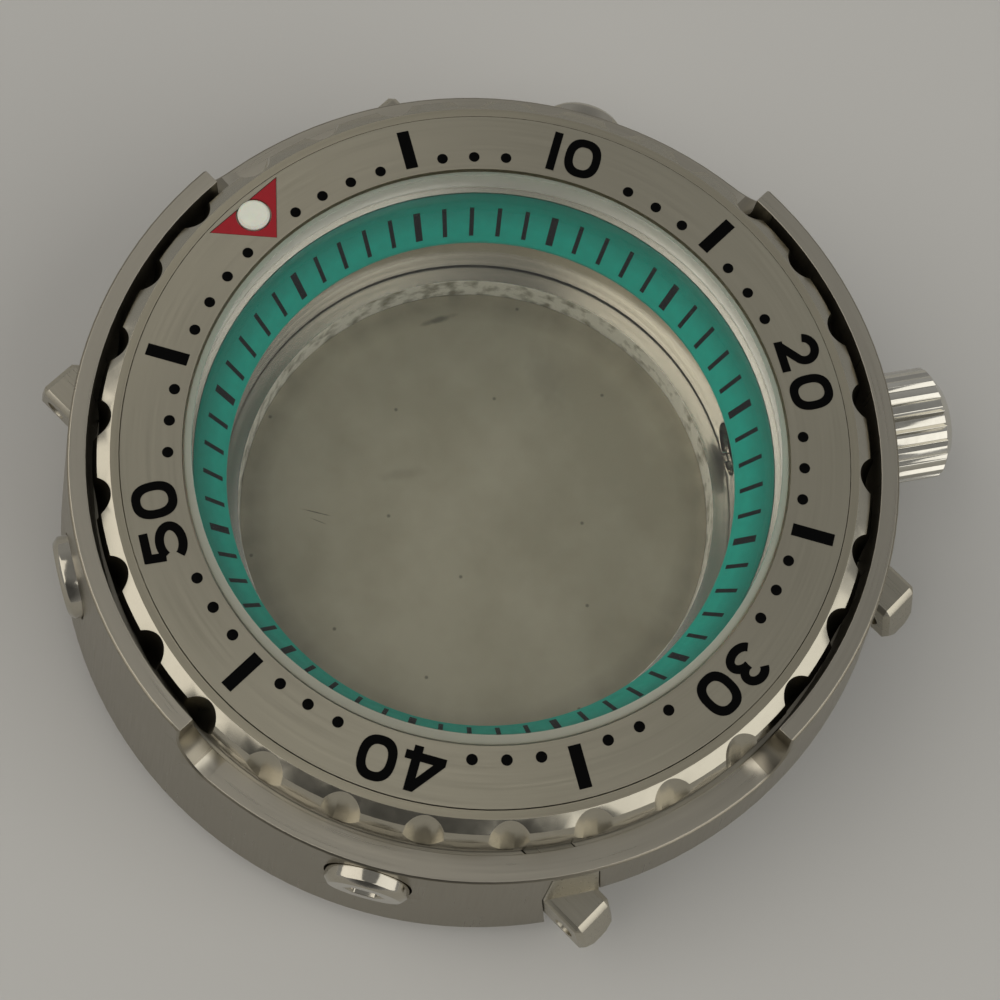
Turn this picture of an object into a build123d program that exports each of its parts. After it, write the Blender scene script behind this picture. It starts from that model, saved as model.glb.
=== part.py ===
from build123d import *

import os
from math import cos, pi, sin, sqrt

# Empty diver's watch case for a 28.5 mm dial: case, shroud, click bezel, flat glass,
# screw-down crown and screw-in back. Millimetres. The origin is on the case's axis at the
# outer face of the back, +Z goes up through the glass and +Y points to 12 o'clock.
# Places round the dial are given in minutes, clockwise from 12 o'clock.

# Fits
overrun = 1.0  # how far a cutter runs past the wall that it opens
turning_gap = 0.06  # radial gap of a piece that turns or slides in another
push_gap = 0.02  # radial gap of a piece that is pressed or glued in
face_gap = 0.05  # gap between faces that screw up against each other

# Dial
dial_minutes = 60
quarter_turn = dial_minutes / 4

# Screw-in back: a threaded ring and the plate that lies on its shelf
back_flange = 1.5
back_overhang = 1.6  # of the flange, past the thread
back_rim_width = 2.9  # of the sloped rim round the flat that the case lies on
back_edge_height = 0.55  # of that rim
back_boss = 1.8  # height of the threaded boss above the flange
back_boss_wall = 2.85
back_floor = 1.4  # inner face of the plate
back_shelf_width = 0.75
back_shelf_height = 0.7
wrench_notches = 6
wrench_notch_width = 2.4
wrench_notch_reach = 2.0
wrench_notch_depth = 0.95
back_seal_width = 0.8
back_seal_thickness = 0.6

# Bores of the mid case, from below
thread_relief = 0.2  # room above the boss of the back
movement_radius = 14.3  # the radius that all the others follow
movement_depth = 4.1
movement_ledge = 1.9  # from the movement's bore out to the thread of the back
dial_ledge = 1.1  # width of the ledge that carries the chapter ring
chapter_height = 3.0
chapter_overhang = 0.5  # how far the chapter ring stands in over the dial
chapter_lip = 0.2
glass_air = 0.1  # from the chapter ring to the glass
glass_seat = 0.35  # width of the ledge under the glass
gasket_wall = 0.4
gasket_rise = 2.1
glass_thickness = 3.55
glass_bevel = 0.4

# Outside of the mid case
neck_wall = 0.95  # round the glass
neck_rise = 2.2  # above the ledge of the glass
shoulder_drop = 0.7  # from the ledge of the glass down to the bezel's shoulder
shoulder_width = 3.06  # of the shoulder that the bezel turns over
ledge_width = 0.8  # of the ledge that the shroud stands on
ledge_thickness = 1.0
seat_height = 5.2  # top of that ledge
foot_width = 0.5  # of the bottom face, past the flange of the back
strap_flat_gap = 0.2  # from the flange of the back to the flats behind the strap

# Lugs
lug_gap = 22.0
lug_width = 2.5
lug_top = 6.6
lug_bottom = 3.2
lug_reach = 0.6  # past the body, at the top of the end face
lug_slope = 1.0  # how much further the foot of the end face reaches
lug_bevel = 0.28
lug_under_bevel = 0.7
lug_root_wall = 1.0  # from the back's thread to the root of a lug
cheek_slant = 0.5  # how much narrower a cheek is at its top, on its outer side
cheek_bridge = 0.4  # of the shroud, over a cheek that fills its notch
bar_hole_radius = 0.6
bar_hole_inset = 0.8  # from the top of the end face
bar_hole_height = 4.8

# Shroud
shroud_rim = 0.95  # thickness at the top
shroud_flare = 1.68  # how much further the foot reaches than the top
shroud_top = 13.7
shroud_foot = 2.0
shroud_step = 3.3  # down to the rim of the two low quarters
shroud_step_share = 0.65  # of the step that its fillet takes
shroud_bevel = 0.1
bezel_gap = 0.25
strap_arch_top = 6.7
notch_gap = 0.06

# Shroud screws
screw_minutes = (10, 40, 50)
screw_head_radius = 2.25
screw_head_height = 1.5
screw_head_bevel = 0.3
screw_head_rise = 0.6  # out of the wall of the shroud
screw_hole_gap = 0.1
screw_rim_gap = 0.25  # from a screw's hole up to the low rim
screw_socket_radius = 1.1
screw_socket_depth = 0.9
screw_shank_radius = 1.0
screw_depth = 2.3  # of a screw in the body

# Bezel
bezel_rim = 1.45  # width of the rim round the insert
bezel_underside_gap = 0.2
bezel_brow = 0.3  # how far the upper edge stands in
bezel_brow_drop = 0.4
bezel_side_drop = 1.1
bezel_land = 0.45  # width of the flat round the insert
bezel_land_drop = 0.05  # below the face of the insert
scallops = 30
scallop_radius = 1.24
scallop_depth = 0.96
scallop_lip = 0.7  # of the bezel's side, below a scallop
click_teeth = 60
tooth_margin = 0.25  # of a tooth, past the click spring
tooth_depth = 0.42
tooth_share = 0.85  # of the pitch

# Insert
insert_overlap = 0.1  # from the glass to the insert
insert_width = 3.15
insert_gap = 0.05
insert_thickness = 0.75
neck_air = 0.35  # between the neck and the insert
triangle_width = 4.85
triangle_edge = 0.3  # from the insert's outer edge to the triangle's base
triangle_height = 2.65
triangle_depth = 0.25
pip_radius = 0.86
pip_edge = 0.26  # from the insert's outer edge to the pip
pip_dome = 0.12

# Snap ring between bezel and neck
snap_wire = 0.42  # side of its square section
snap_share = 0.5  # of the wire that sits in the neck
snap_height = 0.9  # above the bezel's shoulder
snap_opening = 8.0  # degrees
groove_room = 0.08

# Click spring
click_neck_gap = 0.26
click_width = 1.55
click_thickness = 0.15
click_tongues = 3
click_tongue_length = 2.6
click_tongue_width = 0.8
click_slot = 0.2
click_lip_rise = 0.3
click_lip_run = 0.16

# Crown and its tube, on an axis that points outward
crown_minute = 20.6
tube_boss_gap = 0.2  # from the boss of the back up to the crown tube
crown_radius = 3.2
crown_length = 4.2
crown_flutes = 22
crown_flute_radius = 0.24
crown_end_bevel = 0.65
crown_end_drop = 0.95
crown_base_bevel = 0.2
crown_boss_sink = 0.58  # below the foot of the shroud
crown_boss_margin = 0.1
crown_base_gap = 0.1
tube_bore = 1.1
tube_press_radius = 1.5
tube_thread_radius = 1.8
tube_thread_length = 1.2
tube_inner_gap = 0.3
tube_seal_wall = 0.35
tube_seal_length = 0.6
crown_seal_thickness = 0.35
crown_seal_wall = 0.6
retainer_thickness = 0.15
chamber_wall_step = 0.1
crown_roof = 0.5
post_gap = 0.08
post_head_radius = 1.45
post_head_thickness = 0.2
post_inset = 3.2  # from the movement's bore to the post
post_tap_radius = 0.45
post_tap_depth = 6.0
spring_wire = 0.1  # radius
spring_turns = 2.0
spring_pitch = 0.25
spring_radius = 1.2

# Heights that follow from the stack
back_top = back_flange + back_boss
case_bottom = back_flange + face_gap
movement_bottom = back_top + thread_relief
back_seal_top = back_flange + back_seal_thickness + 2 * push_gap
dial_height = movement_bottom + movement_depth
chapter_top = dial_height + chapter_height
glass_ledge = chapter_top + glass_air
glass_top = glass_ledge + glass_thickness
shoulder_height = glass_ledge - shoulder_drop
neck_top = glass_ledge + neck_rise
insert_bottom = neck_top + neck_air
insert_top = insert_bottom + insert_thickness
bezel_bottom = shoulder_height + bezel_underside_gap
bezel_top = insert_top - bezel_land_drop
crown_height = back_top + tube_boss_gap + tube_press_radius
shroud_low = shroud_top - shroud_step
lug_cheek_top = shroud_low - cheek_bridge
screw_hole_radius = screw_head_radius + screw_hole_gap
screw_height = shroud_low - screw_rim_gap - screw_hole_radius

# Radii that follow from the movement's bore, from the inside out
back_thread_radius = movement_radius + movement_ledge
back_bore = back_thread_radius + turning_gap
back_well_radius = back_thread_radius - back_boss_wall
back_window_radius = back_well_radius - back_shelf_width
back_radius = back_thread_radius + back_overhang
chapter_bore = movement_radius + dial_ledge
glass_radius = chapter_bore + glass_seat
gasket_radius = glass_radius + push_gap + gasket_wall
glass_bore = gasket_radius + push_gap
neck_radius = glass_bore + neck_wall
body_radius = neck_radius + shoulder_width
ledge_radius = body_radius + ledge_width
foot_radius = back_radius + foot_width
strap_flat = back_radius + strap_flat_gap
insert_inner = glass_radius + insert_overlap
insert_outer = insert_inner + insert_width
bezel_bore = neck_radius + turning_gap
bezel_land_radius = insert_outer + insert_gap + bezel_land
bezel_radius = insert_outer + insert_gap + bezel_rim
bezel_brow_radius = bezel_radius - bezel_brow
scallop_reach = bezel_radius - scallop_depth
click_inner = neck_radius + click_neck_gap
click_outer = click_inner + click_width
tooth_outer = click_outer + tooth_margin
shroud_seat_bore = body_radius + turning_gap
shroud_skirt_bore = ledge_radius + turning_gap
shroud_bore = bezel_radius + bezel_gap
shroud_top_radius = shroud_bore + shroud_rim
shroud_foot_radius = shroud_top_radius + shroud_flare
screw_reach = body_radius - screw_depth
crown_boss_reach = shroud_foot_radius - crown_boss_sink

# Lugs
lug_inner = lug_gap / 2
lug_outer = lug_inner + lug_width
lug_middle = lug_inner + lug_width / 2
lug_end = body_radius + lug_reach
bar_hole_reach = lug_end - bar_hole_inset


def shroud_wall(height):
    """Radius of the shroud's conical wall at a height."""
    share = (height - shroud_foot) / (shroud_top - shroud_foot)
    return shroud_foot_radius + share * (shroud_top_radius - shroud_foot_radius)


def outward(minute):
    """Direction from the case's axis to a minute of the dial."""
    turn = 2 * pi * minute / dial_minutes
    return Vector(sin(turn), cos(turn), 0)


def side_plane(minute, height):
    """Plane through the case's axis at a minute: x runs outward and y runs up."""
    return Plane(
        origin=(0, 0, height), x_dir=outward(minute), z_dir=outward(minute + quarter_turn)
    )


def end_plane(minute, height, reach):
    """Plane that faces outward at a minute, at a reach from the case's axis: y runs up."""
    origin = outward(minute) * reach + Vector(0, 0, height)
    return Plane(origin=origin, x_dir=outward(minute - quarter_turn), z_dir=outward(minute))


def cheek_side(side, gap):
    """Outline of a lug and its cheek from 6 o'clock, on one side, grown by a gap."""
    inner = lug_inner - gap
    outer = lug_outer + gap
    return Polygon(
        (side * inner, shroud_foot - overrun),
        (side * outer, shroud_foot - overrun),
        (side * outer, lug_top),
        (side * (outer - cheek_slant), lug_cheek_top + gap),
        (side * inner, lug_cheek_top + gap),
        align=None,
    )


os.makedirs("parts", exist_ok=True)

# Ring of the back: a flange with notches for the wrench and a threaded boss
with BuildPart() as caseback:
    with BuildSketch(Plane.XZ):
        Polygon(
            (back_window_radius, 0),
            (back_radius - back_rim_width, 0),
            (back_radius, back_edge_height),
            (back_radius, back_flange),
            (back_thread_radius, back_flange),
            (back_thread_radius, back_top),
            (back_well_radius, back_top),
            (back_well_radius, back_shelf_height),
            (back_window_radius, back_shelf_height),
        )
    revolve()
    with BuildSketch(Plane.XY):
        with PolarLocations(back_radius, wrench_notches):
            Rectangle(2 * wrench_notch_reach, wrench_notch_width)
    extrude(amount=wrench_notch_depth, mode=Mode.SUBTRACT)
caseback.part.label = "caseback"

# Plate of the back: it fills the ring, flush with its outer face
plate_step = back_shelf_height + push_gap
with BuildPart() as back_plate:
    with BuildSketch(Plane.XZ):
        Polygon(
            (0, 0),
            (back_window_radius - push_gap, 0),
            (back_window_radius - push_gap, plate_step),
            (back_well_radius - push_gap, plate_step),
            (back_well_radius - push_gap, back_floor),
            (0, back_floor),
        )
    revolve()
back_plate.part.label = "back_plate"

# Flat ring gasket that the back presses into the mouth of the case
back_seal_bore = back_bore + back_seal_width + 2 * push_gap
with BuildPart() as caseback_gasket:
    with BuildSketch(Plane.XY.offset(back_flange + push_gap)):
        Circle(back_seal_bore - push_gap)
        Circle(back_bore + push_gap, mode=Mode.SUBTRACT)
    extrude(amount=back_seal_thickness)
caseback_gasket.part.label = "caseback_gasket"

# One lug: a block with a sloped end, bevelled all round, and its three mirror images
lug_root = sqrt((back_bore + lug_root_wall) ** 2 - lug_inner**2)
with BuildPart() as lugs:
    with BuildSketch(Plane.YZ.offset(lug_inner)):
        Polygon(
            (lug_root, lug_bottom),
            (lug_end + lug_slope, lug_bottom),
            (lug_end, lug_top),
            (lug_root, lug_top),
        )
    extrude(amount=lug_width)
    under_edges = lugs.edges().filter_by(Axis.Y).group_by(Axis.Z)[0]
    chamfer(under_edges, lug_under_bevel)
    top_edges = lugs.faces().sort_by(Axis.Z)[-1].edges().filter_by(Axis.Y)
    end_edges = lugs.faces().sort_by(Axis.Y)[-1].edges()
    chamfer(top_edges + end_edges, lug_bevel)
    mirror(about=Plane.YZ)
    mirror(about=Plane.XZ)

# Cheeks of the lugs: they rise flush with the shroud's wall inside its notches
with BuildPart() as cheeks:
    with BuildSketch(Plane.XZ):
        Polygon(
            (body_radius - overrun, lug_bottom),
            (shroud_wall(lug_bottom), lug_bottom),
            (shroud_wall(lug_cheek_top), lug_cheek_top),
            (shroud_bore, lug_cheek_top),
            (shroud_bore, shoulder_height),
            (body_radius - overrun, shoulder_height),
        )
    revolve()
    with BuildSketch(Plane.XZ):
        for side in (-1, 1):
            cheek_side(side, 0)
    extrude(amount=shroud_foot_radius + overrun, both=True, mode=Mode.INTERSECT)
    with BuildSketch(Plane.XY):
        Rectangle(2 * shroud_foot_radius + 2 * overrun, 2 * shroud_foot_radius + 2 * overrun)
    extrude(amount=lug_top - lug_bevel - face_gap, mode=Mode.SUBTRACT)

# Mid case: the stepped body that everything is mounted in
snap_bottom = shoulder_height + snap_height
snap_inner = neck_radius - snap_wire * snap_share
crown_axis = Axis((0, 0, crown_height), outward(crown_minute))
with BuildPart() as mid_case:
    with BuildSketch(Plane.XZ):
        Polygon(
            (back_seal_bore, case_bottom),
            (back_seal_bore, back_seal_top),
            (back_bore, back_seal_top),
            (back_bore, movement_bottom),
            (movement_radius, movement_bottom),
            (movement_radius, dial_height),
            (chapter_bore, dial_height),
            (chapter_bore, glass_ledge),
            (glass_bore, glass_ledge),
            (glass_bore, neck_top),
            (neck_radius, neck_top),
            (neck_radius, shoulder_height),
            (body_radius, shoulder_height),
            (body_radius, seat_height),
            (ledge_radius, seat_height),
            (ledge_radius, seat_height - ledge_thickness),
            (foot_radius, case_bottom),
        )
    revolve()
    # Flats behind the strap
    with BuildSketch(Plane.XY):
        for side in (-1, 1):
            with Locations((0, side * (strap_flat + shroud_foot_radius / 2))):
                Rectangle(lug_gap, shroud_foot_radius)
    extrude(amount=strap_arch_top, mode=Mode.SUBTRACT)
    add(lugs.part)
    add(cheeks.part)
    # Boss that the crown screws down on
    with BuildSketch(end_plane(crown_minute, crown_height, body_radius - overrun)):
        Circle(crown_radius + crown_boss_margin)
    extrude(amount=crown_boss_reach - body_radius + overrun)
    with BuildSketch(Plane.XY.offset(case_bottom)):
        Rectangle(2 * shroud_foot_radius, 2 * shroud_foot_radius)
    extrude(amount=-case_bottom, mode=Mode.SUBTRACT)
    # Groove of the snap ring
    with BuildSketch(Plane.XY.offset(snap_bottom - groove_room)):
        Circle(neck_radius + overrun)
        Circle(snap_inner - turning_gap, mode=Mode.SUBTRACT)
    extrude(amount=snap_wire + 2 * groove_room, mode=Mode.SUBTRACT)
    # Holes of the strap bars, through both lugs
    with BuildSketch(Plane.YZ.offset(-lug_outer - overrun)):
        with Locations((bar_hole_reach, bar_hole_height), (-bar_hole_reach, bar_hole_height)):
            Circle(bar_hole_radius)
    extrude(amount=2 * lug_outer + 2 * overrun, mode=Mode.SUBTRACT)
    # Bore of the crown tube
    with BuildSketch(end_plane(crown_minute, crown_height, movement_radius - overrun)):
        Circle(tube_press_radius + push_gap)
    extrude(amount=crown_boss_reach - movement_radius + 2 * overrun, mode=Mode.SUBTRACT)
    # Tapped holes of the shroud screws
    for minute in screw_minutes:
        with BuildSketch(end_plane(minute, screw_height, screw_reach - push_gap)):
            Circle(screw_shank_radius + push_gap)
        extrude(amount=body_radius - screw_reach + overrun, mode=Mode.SUBTRACT)
mid_case.part.label = "mid_case"

# Low quarter of the shroud, as the cutter that clears it
with BuildPart() as low_quarter:
    with BuildSketch(Plane.XY.offset(shroud_low)):
        Rectangle(
            shroud_foot_radius + overrun,
            shroud_foot_radius + overrun,
            align=(Align.MIN, Align.MIN),
        )
    extrude(amount=shroud_top - shroud_low + overrun)
    floor_edges = low_quarter.faces().sort_by(Axis.Z)[0].edges()
    fillet(
        floor_edges.sort_by(Axis.X)[:1] + floor_edges.sort_by(Axis.Y)[:1],
        shroud_step_share * shroud_step,
    )

# Shroud: a conical guard with two high quarters round the bezel, bevelled along its rim
with BuildPart() as shroud:
    with BuildSketch(Plane.XZ):
        Polygon(
            (shroud_skirt_bore, shroud_foot),
            (shroud_wall(shroud_foot), shroud_foot),
            (shroud_wall(shroud_top), shroud_top),
            (shroud_bore, shroud_top),
            (shroud_bore, shoulder_height),
            (shroud_seat_bore, shoulder_height),
            (shroud_seat_bore, seat_height),
            (shroud_skirt_bore, seat_height),
        )
    revolve()
    add(low_quarter.part, mode=Mode.SUBTRACT)
    add(low_quarter.part.rotate(Axis.Z, 180), mode=Mode.SUBTRACT)
    wall_edges = shroud.faces().filter_by(GeomType.CONE)[0].edges()
    chamfer(
        wall_edges.filter_by(lambda edge: edge.center().Z > shroud_low - shroud_bevel),
        shroud_bevel,
    )
    # Notches of the lugs and the arches over the strap
    with BuildSketch(Plane.XZ):
        for side in (-1, 1):
            cheek_side(side, notch_gap)
    extrude(amount=shroud_foot_radius + overrun, both=True, mode=Mode.SUBTRACT)
    with BuildSketch(Plane.XY.offset(shroud_foot - overrun)):
        Rectangle(lug_gap, 2 * shroud_foot_radius + 2 * overrun)
    extrude(amount=strap_arch_top - shroud_foot + overrun, mode=Mode.SUBTRACT)
    # Notch of the crown, open downward
    crown_notch = crown_radius + crown_boss_margin + notch_gap
    with BuildSketch(end_plane(crown_minute, crown_height, body_radius - overrun)) as notch:
        Circle(crown_notch)
        Rectangle(2 * crown_notch, 2 * crown_notch, align=(Align.CENTER, Align.MAX))
    extrude(amount=shroud_foot_radius - body_radius + 2 * overrun, mode=Mode.SUBTRACT)
    # Sunk holes of the screws
    for minute in screw_minutes:
        head_top = shroud_wall(screw_height) + screw_head_rise
        with BuildSketch(end_plane(minute, screw_height, head_top - screw_head_height)):
            Circle(screw_hole_radius)
        extrude(amount=screw_head_height + overrun, mode=Mode.SUBTRACT)
        with BuildSketch(end_plane(minute, screw_height, body_radius - overrun)):
            Circle(screw_shank_radius + turning_gap)
        extrude(amount=shroud_foot_radius - body_radius + overrun, mode=Mode.SUBTRACT)
shroud.part.label = "shroud"

# Socket-head screws that hold the shroud
with BuildPart() as shroud_screws:
    for minute in screw_minutes:
        head_top = shroud_wall(screw_height) + screw_head_rise
        head_bottom = head_top - screw_head_height
        with BuildSketch(side_plane(minute, screw_height)):
            Polygon(
                (screw_reach, 0),
                (head_top, 0),
                (head_top, screw_head_radius - screw_head_bevel),
                (head_top - screw_head_bevel, screw_head_radius),
                (head_bottom, screw_head_radius),
                (head_bottom, screw_shank_radius),
                (screw_reach, screw_shank_radius),
            )
        revolve(axis=Axis((0, 0, screw_height), outward(minute)))
        with BuildSketch(end_plane(minute, screw_height, head_top)):
            RegularPolygon(screw_socket_radius, 6)
        extrude(amount=-screw_socket_depth, mode=Mode.SUBTRACT)
shroud_screws.part.label = "shroud_screws"

# Flat glass with a bevelled edge
with BuildPart() as crystal:
    with BuildSketch(Plane.XZ):
        Polygon(
            (0, glass_ledge),
            (glass_radius, glass_ledge),
            (glass_radius, glass_top - glass_bevel),
            (glass_radius - glass_bevel, glass_top),
            (0, glass_top),
        )
    revolve()
crystal.part.label = "crystal"

# Nylon gasket round the glass
with BuildPart() as crystal_gasket:
    with BuildSketch(Plane.XY.offset(glass_ledge)):
        Circle(gasket_radius)
        Circle(glass_radius + push_gap, mode=Mode.SUBTRACT)
    extrude(amount=gasket_rise)
crystal_gasket.part.label = "crystal_gasket"

# Chapter ring: the sloped ring between the glass and the dial
chapter_outer = chapter_bore - push_gap
chapter_inner = movement_radius - chapter_overhang
with BuildPart() as chapter_ring:
    with BuildSketch(Plane.XZ):
        Polygon(
            (chapter_inner, dial_height),
            (chapter_outer, dial_height),
            (chapter_outer, chapter_top),
            (chapter_inner, dial_height + chapter_lip),
        )
    revolve()
chapter_ring.part.label = "chapter_ring"

# Click spring: a flat ring whose tongues are bent up into the bezel's teeth
click_middle = (click_inner + click_outer) / 2
tooth_gap = tooth_share * 2 * pi * bezel_bore / click_teeth
tongue_end = tooth_gap / 2 - face_gap
tongue_foot = tongue_end - click_tongue_length
tongue_tip = tongue_end - click_lip_run - click_thickness
with BuildPart() as click_spring:
    with BuildSketch(Plane.XY.offset(shoulder_height)):
        Circle(click_outer)
        Circle(click_inner, mode=Mode.SUBTRACT)
        with PolarLocations(click_middle, click_tongues, start_angle=90):
            with Locations((0, tongue_end + click_slot)):
                Rectangle(
                    click_tongue_width + 2 * click_slot,
                    click_tongue_length + click_slot,
                    align=(Align.CENTER, Align.MAX),
                    mode=Mode.SUBTRACT,
                )
    extrude(amount=click_thickness)
    for number in range(click_tongues):
        tongue_minute = dial_minutes / click_tongues * number
        tongue_height = shoulder_height + click_thickness
        with BuildSketch(end_plane(tongue_minute, tongue_height, click_middle)):
            Polygon(
                (tongue_foot, -click_thickness),
                (tongue_tip, -click_thickness / 2),
                (tongue_tip + click_thickness, 0),
                (tongue_end, click_lip_rise),
                (tongue_tip + click_lip_run, click_lip_rise),
                (tongue_tip, click_thickness / 2),
                (tongue_foot, 0),
            )
        extrude(amount=click_tongue_width / 2, both=True)
click_spring.part.label = "click_spring"

# One gap between the bezel's click teeth, as a cutter: one steep side and one slope
with BuildPart() as tooth_cutter:
    with BuildSketch(Plane.YZ.offset(bezel_bore - overrun)):
        Polygon(
            (-tooth_gap / 2, bezel_bottom - overrun),
            (tooth_gap / 2, bezel_bottom - overrun),
            (tooth_gap / 2, bezel_bottom + tooth_depth),
            (-tooth_gap / 2, bezel_bottom),
        )
    extrude(amount=tooth_outer - bezel_bore + overrun)

# One scallop, as a leaning round cutter: it runs out of the bezel's side above a lip
scallop_start = Vector(scallop_reach, 0, bezel_top)
scallop_run = Vector(bezel_radius, 0, bezel_bottom + scallop_lip) - scallop_start
scallop_slope = scallop_run.normalized()
scallop_side = Vector(-scallop_slope.Z, 0, scallop_slope.X)
scallop_axis = scallop_start + scallop_side * scallop_radius
with BuildPart() as scallop_cutter:
    with BuildSketch(Plane(origin=scallop_axis - scallop_slope * overrun, z_dir=scallop_slope)):
        Circle(scallop_radius)
    extrude(amount=scallop_run.length + 2 * overrun)

# Bezel ring: scalloped grip outside, click teeth below, seat of the insert above
snap_outer = snap_inner + snap_wire
with BuildPart() as bezel_ring:
    with BuildSketch(Plane.XZ):
        Polygon(
            (bezel_bore, bezel_bottom),
            (bezel_radius, bezel_bottom),
            (bezel_radius, bezel_top - bezel_side_drop),
            (bezel_brow_radius, bezel_top - bezel_brow_drop),
            (bezel_land_radius, bezel_top),
            (insert_outer + insert_gap, bezel_top),
            (insert_outer + insert_gap, insert_bottom),
            (snap_outer + push_gap, insert_bottom),
            (snap_outer + push_gap, snap_bottom - push_gap),
            (bezel_bore, snap_bottom - push_gap),
        )
    revolve()
    with PolarLocations(0, scallops):
        add(scallop_cutter.part, mode=Mode.SUBTRACT)
    with PolarLocations(0, click_teeth):
        add(tooth_cutter.part, mode=Mode.SUBTRACT)
bezel_ring.part.label = "bezel_ring"

# Snap ring that keeps the bezel on the neck: square wire, open at one place
with BuildPart() as bezel_snap_ring:
    with BuildSketch(Plane.XZ):
        with Locations((snap_inner, snap_bottom)):
            Rectangle(snap_wire, snap_wire, align=(Align.MIN, Align.MIN))
    revolve(revolution_arc=360 - snap_opening)
bezel_snap_ring.part.label = "bezel_snap_ring"

# Insert: flat steel ring with a sunk triangle and the hole of the luminous pip
pip_reach = insert_outer - pip_edge - pip_radius
triangle_base = insert_outer - triangle_edge
with BuildPart() as bezel_insert:
    with BuildSketch(Plane.XY.offset(insert_bottom)):
        Circle(insert_outer)
        Circle(insert_inner, mode=Mode.SUBTRACT)
    extrude(amount=insert_thickness)
    with BuildSketch(Plane.XY.offset(insert_top)):
        Polygon(
            (-triangle_width / 2, triangle_base),
            (0, triangle_base - triangle_height),
            (triangle_width / 2, triangle_base),
        )
    extrude(amount=-triangle_depth, mode=Mode.SUBTRACT)
    with Locations((0, pip_reach, insert_top)):
        Hole(pip_radius + push_gap)
bezel_insert.part.label = "bezel_insert"

# Luminous pip, standing just proud of the insert with a bevelled edge
with BuildPart() as lume_pip:
    with BuildSketch(Plane.XY.offset(insert_bottom)):
        with Locations((0, pip_reach)):
            Circle(pip_radius)
    extrude(amount=insert_thickness + pip_dome)
    chamfer(lume_pip.faces().sort_by(Axis.Z)[-1].edges(), pip_dome)
lume_pip.part.label = "lume_pip"

# Reaches and radii along the crown's axis
post_inner_end = movement_radius + post_inset
post_radius = tube_bore - post_gap
crown_base = crown_boss_reach + crown_base_gap
crown_tip = crown_base + crown_length
tube_end = crown_boss_reach + tube_thread_length
tube_seal_start = tube_end - tube_seal_length - push_gap
tube_seal_bore = post_radius + tube_seal_wall + 2 * push_gap
seal_start = tube_end + push_gap
seal_end = seal_start + crown_seal_thickness
retainer_start = seal_end + push_gap
retainer_end = retainer_start + retainer_thickness
roof_start = crown_tip - crown_roof
crown_bore = tube_thread_radius + turning_gap
chamber_radius = crown_bore - chamber_wall_step
spring_length = spring_turns * spring_pitch + 2 * spring_wire
head_end = roof_start - spring_length - 2 * push_gap
head_start = head_end - post_head_thickness

# Crown tube: pressed into the case, threaded outside for the crown
with BuildPart() as crown_tube:
    with BuildSketch(side_plane(crown_minute, crown_height)):
        Polygon(
            (movement_radius + tube_inner_gap, tube_bore),
            (tube_seal_start, tube_bore),
            (tube_seal_start, tube_seal_bore),
            (tube_end, tube_seal_bore),
            (tube_end, tube_thread_radius),
            (crown_boss_reach, tube_thread_radius),
            (crown_boss_reach, tube_press_radius),
            (movement_radius + tube_inner_gap, tube_press_radius),
        )
    revolve(axis=crown_axis)
crown_tube.part.label = "crown_tube"

# Ring in the mouth of the tube that seals the post
with BuildPart() as tube_gasket:
    with BuildSketch(end_plane(crown_minute, crown_height, tube_end - tube_seal_length)):
        Circle(tube_seal_bore - push_gap)
        Circle(post_radius + push_gap, mode=Mode.SUBTRACT)
    extrude(amount=tube_seal_length)
tube_gasket.part.label = "tube_gasket"

# Crown: fluted cap with a bevelled end, hollow for its tube, seal, post and spring
with BuildPart() as crown:
    with BuildSketch(side_plane(crown_minute, crown_height)):
        Polygon(
            (crown_base, crown_bore),
            (crown_base, crown_radius - crown_base_bevel),
            (crown_base + crown_base_bevel, crown_radius),
            (crown_tip - crown_end_bevel, crown_radius),
            (crown_tip, crown_radius - crown_end_drop),
            (crown_tip, 0),
            (roof_start, 0),
            (roof_start, chamber_radius),
            (seal_end, chamber_radius),
            (seal_end, crown_bore),
        )
    revolve(axis=crown_axis)
    with BuildSketch(end_plane(crown_minute, crown_height, crown_base - overrun)):
        with PolarLocations(crown_radius, crown_flutes):
            RegularPolygon(crown_flute_radius, 4)
    extrude(amount=crown_length + 2 * overrun, mode=Mode.SUBTRACT)
crown.part.label = "crown"

# Flat gasket that the crown presses on the end of the tube
seal_radius = crown_bore - push_gap
with BuildPart() as crown_gasket:
    with BuildSketch(end_plane(crown_minute, crown_height, seal_start)):
        Circle(seal_radius)
        Circle(seal_radius - crown_seal_wall, mode=Mode.SUBTRACT)
    extrude(amount=crown_seal_thickness)
crown_gasket.part.label = "crown_gasket"

# Washer that keeps the post in the crown
with BuildPart() as crown_retainer:
    with BuildSketch(end_plane(crown_minute, crown_height, retainer_start)):
        Circle(chamber_radius - push_gap)
        Circle(tube_bore, mode=Mode.SUBTRACT)
    extrude(amount=retainer_thickness)
crown_retainer.part.label = "crown_retainer"

# Post: slides in the crown and takes the winding stem in its tapped end
with BuildPart() as crown_post:
    with BuildSketch(side_plane(crown_minute, crown_height)):
        Polygon(
            (post_inner_end, post_tap_radius),
            (post_inner_end, post_radius),
            (head_start, post_radius),
            (head_start, post_head_radius),
            (head_end, post_head_radius),
            (head_end, 0),
            (post_inner_end + post_tap_depth, 0),
            (post_inner_end + post_tap_depth, post_tap_radius),
        )
    revolve(axis=crown_axis)
crown_post.part.label = "crown_post"

# Spring between the post's head and the crown
coil_start = head_end + push_gap + spring_wire
with BuildPart() as crown_spring:
    with BuildLine() as coil:
        Helix(
            pitch=spring_pitch,
            height=spring_turns * spring_pitch,
            radius=spring_radius,
            center=outward(crown_minute) * coil_start + Vector(0, 0, crown_height),
            direction=outward(crown_minute),
        )
    with BuildSketch(Plane(origin=coil.line @ 0, z_dir=coil.line % 0)):
        RegularPolygon(spring_wire, 4)
    sweep()
crown_spring.part.label = "crown_spring"

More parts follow.
